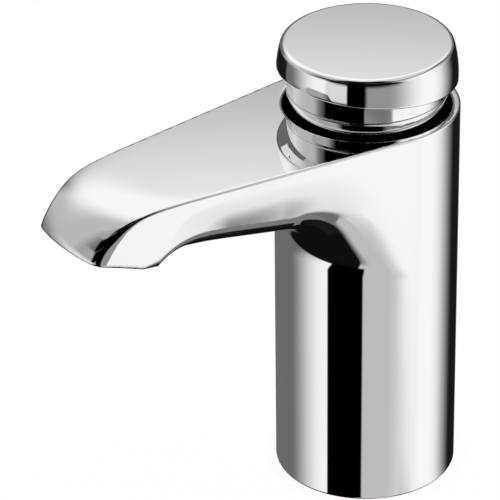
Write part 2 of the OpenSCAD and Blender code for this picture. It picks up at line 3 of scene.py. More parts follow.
import bmesh
import bpy
import numpy as np
from mathutils import Matrix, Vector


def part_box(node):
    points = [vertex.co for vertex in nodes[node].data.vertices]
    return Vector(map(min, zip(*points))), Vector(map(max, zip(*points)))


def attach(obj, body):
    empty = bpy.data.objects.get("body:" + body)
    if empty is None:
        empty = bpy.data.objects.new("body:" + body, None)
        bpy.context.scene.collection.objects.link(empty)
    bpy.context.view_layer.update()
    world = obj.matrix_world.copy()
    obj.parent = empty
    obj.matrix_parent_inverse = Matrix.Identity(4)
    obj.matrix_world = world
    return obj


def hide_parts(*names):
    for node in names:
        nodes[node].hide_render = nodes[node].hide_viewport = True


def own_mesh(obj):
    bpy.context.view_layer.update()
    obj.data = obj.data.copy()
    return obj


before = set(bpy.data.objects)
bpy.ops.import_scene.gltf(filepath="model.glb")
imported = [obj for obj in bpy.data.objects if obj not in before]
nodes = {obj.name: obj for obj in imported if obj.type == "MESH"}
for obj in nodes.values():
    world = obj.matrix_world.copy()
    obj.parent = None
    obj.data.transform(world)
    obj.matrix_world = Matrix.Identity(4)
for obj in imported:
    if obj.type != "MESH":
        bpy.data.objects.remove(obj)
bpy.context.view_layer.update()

# Body casting: column and spout in one piece of cast brass, ground, polished and chromed.
# It stands on the deck and is clamped from below by the tail and its back nut.
# Sizes in mm; "u" is the reach from the column's axis along the spout, which points along -Y.
MM = 0.001


def box_mm(node):
    """Lowest and highest corner of a CAD node at rest, in mm."""
    return [[round(v / MM, 3) for v in corner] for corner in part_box(node)]


COLUMN_R, _, TOP_Z = box_mm("body_casting")[1]
TAPER = math.radians(6.8)
# Flat top: the round nose that it falls over, and the radius of its edge, which grows round the nose
BOW_C, BOW_BACK, DROP_R, DROP_C, DROP_EASE = 56.0, 20.0, 18.0, 21.6, 10.0
TOP_EDGE, NOSE_EDGE, NOSE_FROM, NOSE_OVER = 0.6, 2.5, 0.30, 0.5
# Side walls: drawn in under the top edge, from where the spout leaves the column to the nose
TUCK, TUCK_Z, TUCK_D = 2.873, 105.0, 13.0
TUCK_FROM, TUCK_IN, TUCK_TO, TUCK_OUT = 8.0, 32.0, 74.0, 20.0
# Underside: the belly's height at the column and its rise, the root's fillet, and the outlet's boss
ROOT_Z, ROOT_R, BELLY = 84.4, 14.0, 0.1805
BOSS_U, BOSS_Z, BOSS_BACK, BOSS_EDGE, BOSS_ROOT = 74.2, 89.03, math.radians(50), 1.2, 4.5
OUTLET_U, OUTLET_Z, OUTLET_TILT = 82.5, 92.6, math.radians(23.3)
# Radius of the lower edge at some reaches along the spout
EDGE_U, EDGE_R = (16, 24, 36, 60, 70, 75, 79), (15.0, 13.0, 8.0, 7.0, 5.4, 4.2, 1.0)
# Bores: well for the button, mouth and chamber for the cartridge, tail hole, recess in the base, water
# way up the spout, and the aerator's socket
WELL_R, WELL_Z, WELL_EDGE = 21.8, 99.0, 0.8
MOUTH_R, MOUTH_Z, CHAMBER_R, FLOOR_Z = 17.0, 95.0, 15.0, 13.0
HOLE_R, HOLE_LAP, RECESS_R, RECESS_Z, BASE_EDGE = 10.4, 1.0, 20.5, 3.0, 0.5
WAY_R, WAY_Z, WAY_RISE, WAY_BACK, WAY_LONG = 3.6, 91.4, math.radians(7.6), 4.0, 66.0
SOCKET_R, SOCKET_Z = 7.5, 8.0


def ease(share):
    """Smooth step from 0 to 1 as a share goes from 0 to 1."""
    t = np.clip(share, 0, 1)
    return t * t * (3 - 2 * t)


def round_max(a, b, r):
    """What two solids share, with a rounded edge where they meet square."""
    return np.minimum(-r, np.maximum(a, b)) + np.hypot(np.maximum(r + a, 0), np.maximum(r + b, 0))


def round_min(a, b, r):
    """Two solids together, with a fillet where they meet square."""
    return np.maximum(r, np.minimum(a, b)) - np.hypot(np.maximum(r - a, 0), np.maximum(r - b, 0))


def ball_max(a, b, cosine, r):
    """What two solids share, with the edge rounded to a radius; cosine is between their normals."""
    p, q = r + a, r + b
    held = (p > cosine * q) & (q > cosine * p) & (p + q > 0) & (cosine < 0.999)
    reach = np.maximum(p * p + q * q - 2 * cosine * p * q, 0) / np.maximum(1 - cosine ** 2, 0.0001)
    return np.where(held, np.sqrt(reach) - r, np.maximum(a, b))


def body_field(x, y, z):
    """Signed distance to the casting's surface, below zero inside the metal."""
    x, u = np.abs(x), -y
    axis_r = np.maximum(np.hypot(x, u), 0.001)
    column = axis_r - COLUMN_R
    walled = u * math.cos(TAPER) > x * math.sin(TAPER)
    facing = np.where(walled, x * math.cos(TAPER) + u * math.sin(TAPER), axis_r)
    tuck = TUCK * ease((u - TUCK_FROM) / TUCK_IN) * ease((TUCK_TO - u) / TUCK_OUT)
    drop = np.maximum(TUCK_Z - z, 0)
    fall = np.exp(-(drop / TUCK_D) ** 2)
    plan = facing - COLUMN_R + tuck * (1 - fall)
    behind = x - (BOW_C - u) ** 2 / BOW_BACK
    ahead = np.where(u > BOW_C, np.hypot(x, u - BOW_C), behind) - DROP_C
    eased = np.maximum(ahead + DROP_EASE, 0) ** 2 / (4 * DROP_EASE)
    ahead = np.where(ahead < DROP_EASE, eased, ahead)
    over = z - TOP_Z + DROP_R
    top = np.where(over <= 0, ahead, np.hypot(ahead, np.maximum(over, 0))) - DROP_R
    turn = ease((ahead / DROP_R - NOSE_FROM) / NOSE_OVER)
    outline = round_max(plan, top, TOP_EDGE + (NOSE_EDGE - TOP_EDGE) * turn)
    belly = (ROOT_Z + (u - COLUMN_R) * BELLY - z) * math.cos(math.atan(BELLY))
    back = (BOSS_Z + (BOSS_U - u) * math.tan(BOSS_BACK) - z) * math.cos(BOSS_BACK)
    outlet = (BOSS_Z + (u - BOSS_U) * math.tan(OUTLET_TILT) - z) * math.cos(OUTLET_TILT)
    under = round_min(belly, round_max(back, outlet, BOSS_EDGE), BOSS_ROOT)
    near, far = np.maximum(ROOT_R - column, 0.001), np.maximum(ROOT_R - under, 0)
    lean = math.sin(TAPER) * BELLY + 2 * tuck * drop * fall / TUCK_D ** 2
    cosine = (near * facing / axis_r + far * lean) / np.hypot(near, far)
    under = round_min(column, under, ROOT_R)
    solid = ball_max(outline, under, np.clip(cosine, -1, 1), np.interp(u, EDGE_U, EDGE_R))
    solid = round_max(solid, -z, BASE_EDGE)
    solid = round_max(solid, -np.maximum(axis_r - WELL_R, WELL_Z - z), WELL_EDGE)
    way_u, way_z = u - CHAMBER_R, z - WAY_Z
    along = way_u * math.cos(WAY_RISE) + way_z * math.sin(WAY_RISE)
    across = way_z * math.cos(WAY_RISE) - way_u * math.sin(WAY_RISE)
    out_u, out_z = u - OUTLET_U, z - OUTLET_Z
    depth = out_z * math.cos(OUTLET_TILT) - out_u * math.sin(OUTLET_TILT)
    aside = out_u * math.cos(OUTLET_TILT) + out_z * math.sin(OUTLET_TILT)
    for bore, ends in ((axis_r - MOUTH_R, MOUTH_Z - z), (axis_r - CHAMBER_R, FLOOR_Z - z),
                       (axis_r - HOLE_R, z - FLOOR_Z - HOLE_LAP), (axis_r - RECESS_R, z - RECESS_Z),
                       (np.hypot(x, across) - WAY_R, np.maximum(-along - WAY_BACK, along - WAY_LONG)),
                       (np.hypot(x, aside) - SOCKET_R, depth - SOCKET_Z)):
        solid = np.maximum(solid, -np.maximum(bore, ends))
    return solid


def surface_net(field, axes):
    """One vertex in each grid cell that the surface crosses, and a quad round each crossed grid edge."""
    gx, gy, gz = axes
    f = np.stack([field(gx[:, None], gy[None, :], z) for z in gz], axis=2)
    inside = f < 0
    shape = [n - 1 for n in f.shape]
    corner = lambda a, i, j, k: a[i:i + shape[0], j:j + shape[1], k:k + shape[2]]
    bits = [(i, j, k) for i in (0, 1) for j in (0, 1) for k in (0, 1)]
    count = sum(corner(inside, *b).astype(np.int8) for b in bits)
    cells = np.nonzero((count > 0) & (count < 8))
    number = np.full(shape, -1)
    number[cells] = np.arange(len(cells[0]))
    total, hits = np.zeros((len(cells[0]), 3)), np.zeros(len(cells[0]))
    for a in bits:
        for axis in range(3):
            if a[axis]:
                continue
            b = tuple(v + (n == axis) for n, v in enumerate(a))
            ia = [c + o for c, o in zip(cells, a)]
            ib = [c + o for c, o in zip(cells, b)]
            fa, fb = f[tuple(ia)], f[tuple(ib)]
            crossed = (fa < 0) != (fb < 0)
            t = np.where(crossed, fa / np.where(crossed, fa - fb, 1), 0)
            pa = np.stack([g[i] for g, i in zip(axes, ia)], 1)
            pb = np.stack([g[i] for g, i in zip(axes, ib)], 1)
            total += np.where(crossed[:, None], pa + t[:, None] * (pb - pa), 0)
            hits += crossed
    quads = []
    for axis in range(3):
        p, q = [n for n in range(3) if n != axis]
        low = [slice(1, -1)] * 3
        low[axis] = slice(0, -1)
        high = list(low)
        high[axis] = slice(1, None)
        start, end = inside[tuple(low)], inside[tuple(high)]
        at = np.nonzero(start != end)
        base = [a + (n != axis) for n, a in enumerate(at)]
        ring = []
        for dp, dq in ((-1, -1), (0, -1), (0, 0), (-1, 0)):
            cell = list(base)
            cell[p] = base[p] + dp
            cell[q] = base[q] + dq
            ring.append(number[tuple(cell)])
        ring = np.stack(ring, 1)
        flip = start[at] == (axis == 1)
        ring[flip] = ring[flip][:, ::-1]
        quads.append(ring)
    return total / hits[:, None], np.concatenate(quads)


def slope(field, points, h=0.01):
    """Gradient of a field at some points."""
    out = np.empty_like(points)
    for n in range(3):
        step = np.zeros(3)
        step[n] = h
        out[:, n] = (field(*(points + step).T) - field(*(points - step).T)) / (2 * h)
    return out


def solid_from_field(name, field, axes, passes=4, farthest=0.3, flat=math.radians(0.03)):
    """Mesh of a field's surface: points drawn onto it in some passes, stretches merged where they are flat
    to an angle, and exact normals."""
    points, quads = surface_net(field, axes)
    for _ in range(passes):
        g = slope(field, points)
        step = field(*points.T)[:, None] * g / np.maximum((g * g).sum(1), 0.2)[:, None]
        points -= np.clip(step, -farthest, farthest)
    mesh = bpy.data.meshes.new(name)
    mesh.from_pydata(points * MM, [], quads.tolist())
    bm = bmesh.new()
    bm.from_mesh(mesh)
    bmesh.ops.dissolve_limit(bm, angle_limit=flat, verts=bm.verts, edges=bm.edges)
    bm.to_mesh(mesh)
    bm.free()
    co = np.empty(len(mesh.vertices) * 3)
    mesh.vertices.foreach_get("co", co)
    normals = slope(field, co.reshape(-1, 3) / MM)
    normals /= np.linalg.norm(normals, axis=1)[:, None]
    mesh.polygons.foreach_set("use_smooth", [True] * len(mesh.polygons))
    mesh.normals_split_custom_set_from_vertices(normals)
    obj = bpy.data.objects.new(name, mesh)
    bpy.context.scene.collection.objects.link(obj)
    return obj


def spread(*stretches):
    """Grid lines from stretches of (from, to, spacing)."""
    lines = [np.linspace(a, b, max(2, round((b - a) / s) + 1)) for a, b, s in stretches]
    return np.unique(np.round(np.concatenate(lines), 5))


# The grid is fine where the casting curves and at its edges, and coarse along the plain column
body = solid_from_field("body", body_field, (
    spread((-24.61, 24.61, 0.5)),
    spread((-96.2, 24.61, 0.5)),
    spread((-0.31, 1.1, 0.2), (1.1, 2.6, 0.5), (2.6, 3.4, 0.2), (3.4, 12.6, 3), (12.6, 14.4, 0.2),
           (14.4, 66, 4), (66, 94.6, 0.5), (94.6, 99.4, 0.4), (99.4, 104.5, 0.5), (104.5, 107.4, 0.2))))
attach(body, "tap_body")
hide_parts("body_casting")


def group(name, inputs, outputs):
    """An empty shader node group with its sockets; an input is (name, default)."""
    tree = bpy.data.node_groups.new(name, "ShaderNodeTree")
    for label, value in inputs:
        kind = "NodeSocketFloat" if isinstance(value, float) else "NodeSocketColor"
        tree.interface.new_socket(label, in_out="INPUT", socket_type=kind).default_value = value
    for label, kind in outputs:
        tree.interface.new_socket(label, in_out="OUTPUT", socket_type=kind)
    return tree, tree.nodes.new("NodeGroupInput"), tree.nodes.new("NodeGroupOutput")


# Fine handling marks that every finish shares: a broad cloud and a fine grain, mixed into a
# colour and a roughness
marks, gin, gout = group(
    "handling_marks",
    [("Colour", (0.8, 0.8, 0.8, 1.0)), ("Shade", (0.7, 0.7, 0.7, 1.0)), ("Cloud scale", 40.0),
     ("Grain scale", 900.0), ("Roughness", 0.2), ("Roughness spread", 0.1)],
    [("Colour", "NodeSocketColor"), ("Roughness", "NodeSocketFloat"), ("Height", "NodeSocketFloat")])
coords = marks.nodes.new("ShaderNodeTexCoord")
cloud = marks.nodes.new("ShaderNodeTexNoise")
grain = marks.nodes.new("ShaderNodeTexNoise")
mix = marks.nodes.new("ShaderNodeMix")
rough = marks.nodes.new("ShaderNodeMath")
both = marks.nodes.new("ShaderNodeMath")
mix.data_type = "RGBA"
rough.operation = "MULTIPLY_ADD"
both.operation = "MULTIPLY"
for tex, label in ((cloud, "Cloud scale"), (grain, "Grain scale")):
    marks.links.new(coords.outputs["Object"], tex.inputs["Vector"])
    marks.links.new(gin.outputs[label], tex.inputs["Scale"])
    tex.inputs["Detail"].default_value = 3
marks.links.new(cloud.outputs["Fac"], both.inputs[0])
marks.links.new(grain.outputs["Fac"], both.inputs[1])
marks.links.new(cloud.outputs["Fac"], mix.inputs["Factor"])
marks.links.new(gin.outputs["Colour"], mix.inputs["A"])
marks.links.new(gin.outputs["Shade"], mix.inputs["B"])
marks.links.new(both.outputs[0], rough.inputs[0])
marks.links.new(gin.outputs["Roughness spread"], rough.inputs[1])
marks.links.new(gin.outputs["Roughness"], rough.inputs[2])
marks.links.new(mix.outputs["Result"], gout.inputs["Colour"])
marks.links.new(rough.outputs[0], gout.inputs["Roughness"])
marks.links.new(grain.outputs["Fac"], gout.inputs["Height"])


def finish(name, colour, shade, metallic, roughness, spread_by, cloud_scale, grain_scale, bump=0.0,
           bump_depth=0.1):
    """A material on the shared marks, with the shader's own constants set on the shader."""
    mat = bpy.data.materials.new(name)
    mat.use_nodes = True
    shader = mat.node_tree.nodes["Principled BSDF"]
    use = mat.node_tree.nodes.new("ShaderNodeGroup")
    use.node_tree = marks
    for label, value in (("Colour", (*colour, 1)), ("Shade", (*shade, 1)), ("Cloud scale", cloud_scale),
                         ("Grain scale", grain_scale), ("Roughness", roughness),
                         ("Roughness spread", spread_by)):
        use.inputs[label].default_value = value
    shader.inputs["Metallic"].default_value = metallic
    mat.node_tree.links.new(use.outputs["Colour"], shader.inputs["Base Color"])
    mat.node_tree.links.new(use.outputs["Roughness"], shader.inputs["Roughness"])
    if bump:
        lift = mat.node_tree.nodes.new("ShaderNodeBump")
        lift.inputs["Strength"].default_value = bump
        lift.inputs["Distance"].default_value = bump_depth * MM
        mat.node_tree.links.new(use.outputs["Height"], lift.inputs["Height"])
        mat.node_tree.links.new(lift.outputs["Normal"], shader.inputs["Normal"])
    return mat


def dress(obj, mat):
    """Gives an object one material."""
    obj.data.materials.clear()
    obj.data.materials.append(mat)


# Below the well's rim the casting's bores get painted shade: a near-black colour where shade falls in the
# well, with a duller surface
BORE_SHADE, BORE_SHADE_ROUGH = (0.020, 0.018, 0.016, 1), 0.5
BORE_SHADE_OUT, BORE_SHADE_DOWN, BORE_SHADE_FADE = 0.1, 0.7, 0.4
bore_shade_tree, gin, gout = group(
    "painted_bore_shade",
    [("Radius", (WELL_R + BORE_SHADE_OUT) * MM), ("Height", (TOP_Z - BORE_SHADE_DOWN) * MM), ("Fade", BORE_SHADE_FADE * MM)],
    [("Mask", "NodeSocketFloat")])
coords = bore_shade_tree.nodes.new("ShaderNodeTexCoord")
split = bore_shade_tree.nodes.new("ShaderNodeSeparateXYZ")
flat = bore_shade_tree.nodes.new("ShaderNodeCombineXYZ")
reach = bore_shade_tree.nodes.new("ShaderNodeVectorMath")
both = bore_shade_tree.nodes.new("ShaderNodeMath")
reach.operation = "LENGTH"
both.operation = "MULTIPLY"
bore_shade_tree.links.new(coords.outputs["Object"], split.inputs[0])
bore_shade_tree.links.new(split.outputs["X"], flat.inputs["X"])
bore_shade_tree.links.new(split.outputs["Y"], flat.inputs["Y"])
bore_shade_tree.links.new(flat.outputs[0], reach.inputs[0])
for n, (value, label) in enumerate(((reach.outputs["Value"], "Radius"), (split.outputs["Z"], "Height"))):
    past = bore_shade_tree.nodes.new("ShaderNodeMath")
    ramp = bore_shade_tree.nodes.new("ShaderNodeMapRange")
    past.operation = "SUBTRACT"
    ramp.inputs["To Min"].default_value, ramp.inputs["To Max"].default_value = 1.0, 0.0
    bore_shade_tree.links.new(value, past.inputs[0])
    bore_shade_tree.links.new(gin.outputs[label], past.inputs[1])
    bore_shade_tree.links.new(past.outputs[0], ramp.inputs["Value"])
    bore_shade_tree.links.new(gin.outputs["Fade"], ramp.inputs["From Max"])
    bore_shade_tree.links.new(ramp.outputs[0], both.inputs[n])
bore_shade_tree.links.new(both.outputs[0], gout.inputs["Mask"])

CHROME = ((0.93, 0.94, 0.95), (0.90, 0.91, 0.92), 1.0, 0.012, 0.02, 30.0, 600.0)
casting = finish("chromed_casting", *CHROME)
tree = casting.node_tree
shader = tree.nodes["Principled BSDF"]
# Painted shade: a mask by radius and height takes the chrome's colour to near black inside the well and
# raises its roughness
bore_shade_node = tree.nodes.new("ShaderNodeGroup")
bore_shade_node.node_tree = bore_shade_tree
tone, dull = tree.nodes.new("ShaderNodeMix"), tree.nodes.new("ShaderNodeMath")
tone.data_type = "RGBA"
tone.inputs["B"].default_value = BORE_SHADE
dull.operation = "MULTIPLY_ADD"
dull.inputs[1].default_value = BORE_SHADE_ROUGH
for socket, step in (("Base Color", tone.inputs["A"]), ("Roughness", dull.inputs[2])):
    tree.links.new(shader.inputs[socket].links[0].from_socket, step)
tree.links.new(bore_shade_node.outputs["Mask"], tone.inputs["Factor"])
tree.links.new(bore_shade_node.outputs["Mask"], dull.inputs[0])
tree.links.new(tone.outputs["Result"], shader.inputs["Base Color"])
tree.links.new(dull.outputs[0], shader.inputs["Roughness"])
dress(body, casting)

# Button: a turned and chromed cap whose skirt is cut off at a slant, on a plain sleeve that sinks
# into the well. The sleeve's spigot is pressed into the cap's neck, and both ride on the spindle.
(_, _, NECK_Z), (SKIRT_R, _, CAP_TOP) = box_mm("button_cap")
(_, _, SLEEVE_Z), (NECK_R, _, SPIGOT_Z) = box_mm("button_sleeve")
ROOF_Z, SKIRT_Z, SKIRT_RISE = 121.3, 115.5, math.tan(math.radians(5.6))
FLARE, RIM_R, SKIRT_EDGE = 0.0168, 1.2, 0.55
HUB_IN, HUB_R, HUB_Z, HUB_END = 5.0, 8.5, 113.0, 119.3
NECK_IN, LIP_Z = 19.3, 114.3
SLEEVE_R, SPIGOT_R, JOINT_Z, BAND, BAND_ROUND = 19.75, 20.05, 111.2, 0.5, 4


def skin(name, rings, starts=None, stops=None, closed=False):
    """Quads over rings of points (angles, profile, 3), with a normal at both ends of each profile step.
    Without normals it is flat-shaded. An open profile gets a flat face over its first ring and its last."""
    turns, steps = rings.shape[:2]
    ids = np.arange(turns * steps).reshape(turns, steps)
    faces, normals = [], []
    for a in range(turns):
        b = (a + 1) % turns
        for s in range(steps if closed else steps - 1):
            t = (s + 1) % steps
            faces.append((ids[a, s], ids[b, s], ids[b, t], ids[a, t]))
            if starts is not None:
                normals += [starts[a, s], starts[b, s], stops[b, s], stops[a, s]]
    for s, side in () if closed else ((0, -1), (steps - 1, 1)):
        p = rings[::side, s]
        up = np.cross(p[turns // 3] - p[0], p[2 * turns // 3] - p[0])
        faces.append(tuple(ids[::side, s]))
        normals += [up / np.linalg.norm(up)] * turns
    mesh = bpy.data.meshes.new(name)
    mesh.from_pydata(rings.reshape(-1, 3) * MM, [], [[int(i) for i in f] for f in faces])
    if normals:
        mesh.polygons.foreach_set("use_smooth", [True] * len(mesh.polygons))
        mesh.normals_split_custom_set(np.array(normals).tolist())
    obj = bpy.data.objects.new(name, mesh)
    bpy.context.scene.collection.objects.link(obj)
    return obj


def rounded(corners, arc_steps=5):
    """Profile points and the normals at both ends of each step, from corners of (r, z, radius)."""
    points, arcs, outward = [], [], []
    p = [np.array(c[:2], float) for c in corners]
    for i, corner in enumerate(corners):
        r = corner[2] if 0 < i < len(corners) - 1 else 0
        if not r:
            points, arcs, outward = points + [p[i]], arcs + [-1], outward + [None]
            continue
        a = (p[i - 1] - p[i]) / np.linalg.norm(p[i - 1] - p[i])
        b = (p[i + 1] - p[i]) / np.linalg.norm(p[i + 1] - p[i])
        half = math.acos(a @ b) / 2
        centre = p[i] + (a + b) / np.linalg.norm(a + b) * r / math.sin(half)
        v = (p[i] + a * r / math.tan(half) - centre) / r
        turn = math.copysign(1, b[1] * -a[0] - b[0] * -a[1])
        for k in range(arc_steps + 1):
            w = turn * (math.pi - 2 * half) * k / arc_steps
            n = np.array([v[0] * math.cos(w) - v[1] * math.sin(w), v[0] * math.sin(w) + v[1] * math.cos(w)])
            points, arcs, outward = points + [centre + r * n], arcs + [i], outward + [n * turn]
    starts, stops = [], []
    for k in range(len(points) - 1):
        d = points[k + 1] - points[k]
        flat = np.array([d[1], -d[0]]) / np.linalg.norm(d)
        bent = arcs[k] >= 0 and arcs[k] == arcs[k + 1]
        starts.append(outward[k] if bent else flat)
        stops.append(outward[k + 1] if bent else flat)
    return np.array(points), np.array(starts), np.array(stops)


def spin(flat, turns):
    """(r, z) pairs turned about the Z axis."""
    w = 2 * math.pi * np.arange(turns)[:, None] / turns
    return np.stack([np.cos(w) * flat[:, 0], np.sin(w) * flat[:, 0], np.ones((turns, 1)) * flat[:, 1]], 2)


def lathe(name, corners, turns=160):
    """A turned ring, from corners of (r, z, radius) with the metal on their left."""
    points, starts, stops = rounded(corners + corners[:1])
    return skin(name, spin(points[:-1], turns), spin(starts, turns), spin(stops, turns), closed=True)


def skirt_r(z):
    """Radius of the flared skirt at a height."""
    return SKIRT_R - FLARE * np.maximum(z - SKIRT_Z, 0) ** 2


def bend(p, q, corner, n_from, n_to, steps=6):
    """Points and normals of a rounded edge between two points, round the sharp corner between them."""
    out = []
    for k in range(steps + 1):
        t = k / steps
        n = n_from * (1 - t) + n_to * t
        out.append((p * (1 - t) ** 2 + corner * 2 * t * (1 - t) + q * t * t,
                    n / np.linalg.norm(n, axis=1)[:, None]))
    return out


# The cap's rings go from the hub's bore along the underside and out to the slanted skirt, up its wall and
# over the rim to the flat top
turns, wall_steps = 240, 16
w = 2 * math.pi * np.arange(turns) / turns
ring_x, ring_y = np.cos(w), np.sin(w)
at = lambda r, z: np.stack([ring_x * r, ring_y * r, z + 0 * ring_x], 1)
unit = lambda v: v / np.linalg.norm(v, axis=1)[:, None]
lean = lambda z: -2 * FLARE * np.maximum(z - SKIRT_Z, 0)
skirt_n = lambda z: unit(at(1 + 0 * z, -lean(z)))
inner, inner_start, inner_stop = rounded([
    (HUB_IN, HUB_END, 0), (HUB_IN, HUB_Z, 0), (HUB_R, HUB_Z, 0.3), (HUB_R, ROOF_Z, 0),
    (NECK_IN, ROOF_Z, 0), (NECK_IN, LIP_Z, 0), (SPIGOT_R, LIP_Z, 0), (SPIGOT_R, NECK_Z, 0),
    (NECK_R, NECK_Z, 0.25), (NECK_R, HUB_Z, 0)])
cols = [(at(*p), None) for p in inner[:-1]]
steps = [(at(*a), at(*b)) for a, b in zip(inner_start, inner_stop)]
shade_under = unit(np.tile([0.0, -SKIRT_RISE, -1.0], (turns, 1)))
neck_z = SKIRT_Z - NECK_R * ring_y * SKIRT_RISE
cols.append((at(NECK_R, neck_z), None))
steps.append((shade_under, shade_under))
# The skirt's edge is where the flared wall meets the slanted cut, found in a few passes
edge_z = np.full(turns, SKIRT_Z)
for _ in range(6):
    edge_z = SKIRT_Z - skirt_r(edge_z) * ring_y * SKIRT_RISE
edge = at(skirt_r(edge_z), edge_z)
inward = unit(at(NECK_R, neck_z) - edge)
up_z = edge_z + SKIRT_EDGE
round_edge = bend(edge + inward * SKIRT_EDGE, at(skirt_r(up_z), up_z), edge, shade_under, skirt_n(edge_z))
rim_z, rim_r = np.full(turns, CAP_TOP - RIM_R), skirt_r(CAP_TOP)
wall_z = [up_z + (rim_z - up_z) * k / wall_steps for k in range(1, wall_steps)]
wall = [(at(skirt_r(z), z), skirt_n(z)) for z in wall_z]
upward = np.tile([0.0, 0.0, 1.0], (turns, 1))
round_rim = bend(at(skirt_r(rim_z), rim_z), at(rim_r - RIM_R, CAP_TOP), at(rim_r, CAP_TOP),
                 skirt_n(rim_z), upward)
run = round_edge + wall + round_rim
cols += run
steps += [(a[1], b[1]) for a, b in zip(run, run[1:])]
cap = skin("cap", np.stack([c[0] for c in cols], 1), np.stack([s[0] for s in steps], 1),
           np.stack([s[1] for s in steps], 1))
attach(cap, "button")
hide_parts("button_cap")
sleeve = lathe("sleeve", [
    (NECK_IN, SLEEVE_Z, 0), (SLEEVE_R, SLEEVE_Z, 0.2), (NECK_R, JOINT_Z - BAND, BAND_ROUND),
    (NECK_R, JOINT_Z, 0.15), (SPIGOT_R, JOINT_Z, 0), (SPIGOT_R, SPIGOT_Z, 0.2),
    (NECK_IN, SPIGOT_Z, 0)], turns)
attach(sleeve, "button")
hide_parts("button_sleeve")
chrome = finish("polished_chrome", *CHROME)
for piece in (cap, sleeve):
    dress(piece, chrome)

# Aerator: a chromed housing screwed into the outlet, with a jet insert behind a steel mesh and a
# rubber ring at the end of its socket.
FLANGE_R = box_mm("aerator_housing")[1][0]
FLANGE_Z, LIP_R, LIP_END, SHELL_IN, SHELL_END = -2.8, 5.4, -2.2, 6.0, 6.0
housing = lathe("aerator_rim", [
    (LIP_R, FLANGE_Z, 0.15), (FLANGE_R, FLANGE_Z, 0.5), (FLANGE_R, 0, 0), (SOCKET_R, 0, 0),
    (SOCKET_R, SHELL_END, 0.3), (SHELL_IN, SHELL_END, 0.1), (SHELL_IN, LIP_END, 0), (LIP_R, LIP_END, 0)], 120)
in_socket = Matrix.Translation((0, -OUTLET_U * MM, OUTLET_Z * MM))
housing.data.transform(in_socket @ Matrix.Rotation(-OUTLET_TILT, 4, "X"))
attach(housing, "tap_body")
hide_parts("aerator_housing")
dress(housing, chrome)
steel = finish(
    "satin_steel", (0.62, 0.63, 0.65), (0.50, 0.51, 0.53), 1.0, 0.22, 0.25, 80.0, 2500.0, 0.15)
rubber = finish(
    "black_rubber", (0.030, 0.030, 0.031), (0.050, 0.050, 0.052), 0.0, 0.55, 0.3, 120.0, 3000.0, 0.4)
plastic = finish(
    "ivory_plastic", (0.83, 0.82, 0.77), (0.76, 0.75, 0.70), 0.0, 0.38, 0.25, 90.0, 2200.0, 0.1)
dress(nodes["aerator_mesh"], steel)
dress(nodes["aerator_insert"], plastic)
dress(nodes["aerator_seal"], rubber)

# Inlet tail: a brass tube with the half-inch thread, screwed into the column's floor up to its collar.
# The thread is a ridge swept along a helix round the tube's core.
(_, _, TAIL_Z), (_, COLLAR_HALF, TAIL_TOP) = box_mm("inlet_tail")
STEP_Z, TAIL_IN, STEP_IN, COLLAR_CHAMFER = 3.0, 5.8, 6.5, 13.3
CORE_R, CREST_R, RIDGE, RIDGE_SIDES, PITCH = 9.3, 10.38, 1.04, 3, 1.814
FIXING_TURNS, FIXING_TOP, INLET_TURNS, INLET_END = 25, -1.2, 7, 1.1
STEPS_A_TURN = 48
helix = bpy.data.node_groups.new("helix_sweep", "GeometryNodeTree")
for label, kind in (("Turns", "Float"), ("Radius", "Float"), ("Height", "Float"), ("Base", "Vector"),
                    ("Thickness", "Float"), ("Sides", "Int"), ("Material", "Material")):
    helix.interface.new_socket(label, in_out="INPUT", socket_type="NodeSocket" + kind)
helix.interface.new_socket("Geometry", in_out="OUTPUT", socket_type="NodeSocketGeometry")
hin, hout = helix.nodes.new("NodeGroupInput"), helix.nodes.new("NodeGroupOutput")
add = lambda kind: helix.nodes.new("GeometryNode" + kind)
spiral, facing, outline = add("CurveSpiral"), add("SetCurveNormal"), add("CurvePrimitiveCircle")
sweep, smooth, shift = add("CurveToMesh"), add("SetShadeSmooth"), add("Transform")
real, paint = add("RealizeInstances"), add("SetMaterial")
spiral.inputs["Resolution"].default_value = STEPS_A_TURN
facing.mode = "Z_UP"
sweep.inputs["Fill Caps"].default_value = True
for a, b in ((hin.outputs["Turns"], spiral.inputs["Rotations"]),
             (hin.outputs["Radius"], spiral.inputs["Start Radius"]),
             (hin.outputs["Radius"], spiral.inputs["End Radius"]),
             (hin.outputs["Height"], spiral.inputs["Height"]),
             (spiral.outputs[0], facing.inputs["Curve"]),
             (facing.outputs[0], sweep.inputs["Curve"]),
             (hin.outputs["Sides"], outline.inputs["Resolution"]),
             (hin.outputs["Thickness"], outline.inputs["Radius"]),
             (outline.outputs[0], sweep.inputs["Profile Curve"]),
             (sweep.outputs[0], smooth.inputs[0]),
             (smooth.outputs[0], shift.inputs[0]),
             (hin.outputs["Base"], shift.inputs["Translation"]),
             (shift.outputs[0], real.inputs[0]),
             (real.outputs[0], paint.inputs[0]),
             (hin.outputs["Material"], paint.inputs["Material"]),
             (paint.outputs[0], hout.inputs[0])):
    helix.links.new(a, b)


def wind(name, turns, radius, low, high, thickness, sides, mat):
    """A round or three-sided bar along a helix, as a plain mesh. Sizes in mm."""
    obj = bpy.data.objects.new(name, bpy.data.meshes.new(name))
    bpy.context.scene.collection.objects.link(obj)
    mod = obj.modifiers.new("helix", "NODES")
    mod.node_group = helix
    values = {"Turns": turns, "Radius": radius * MM, "Height": (high - low) * MM, "Base": (0, 0, low * MM),
              "Thickness": thickness * MM, "Sides": sides, "Material": mat}
    for item in helix.interface.items_tree:
        if item.in_out == "INPUT":
            mod[item.identifier] = values[item.name]
    made = bpy.data.meshes.new_from_object(obj.evaluated_get(bpy.context.evaluated_depsgraph_get()))
    obj.modifiers.clear()
    obj.data = made
    dress(obj, mat)
    return obj


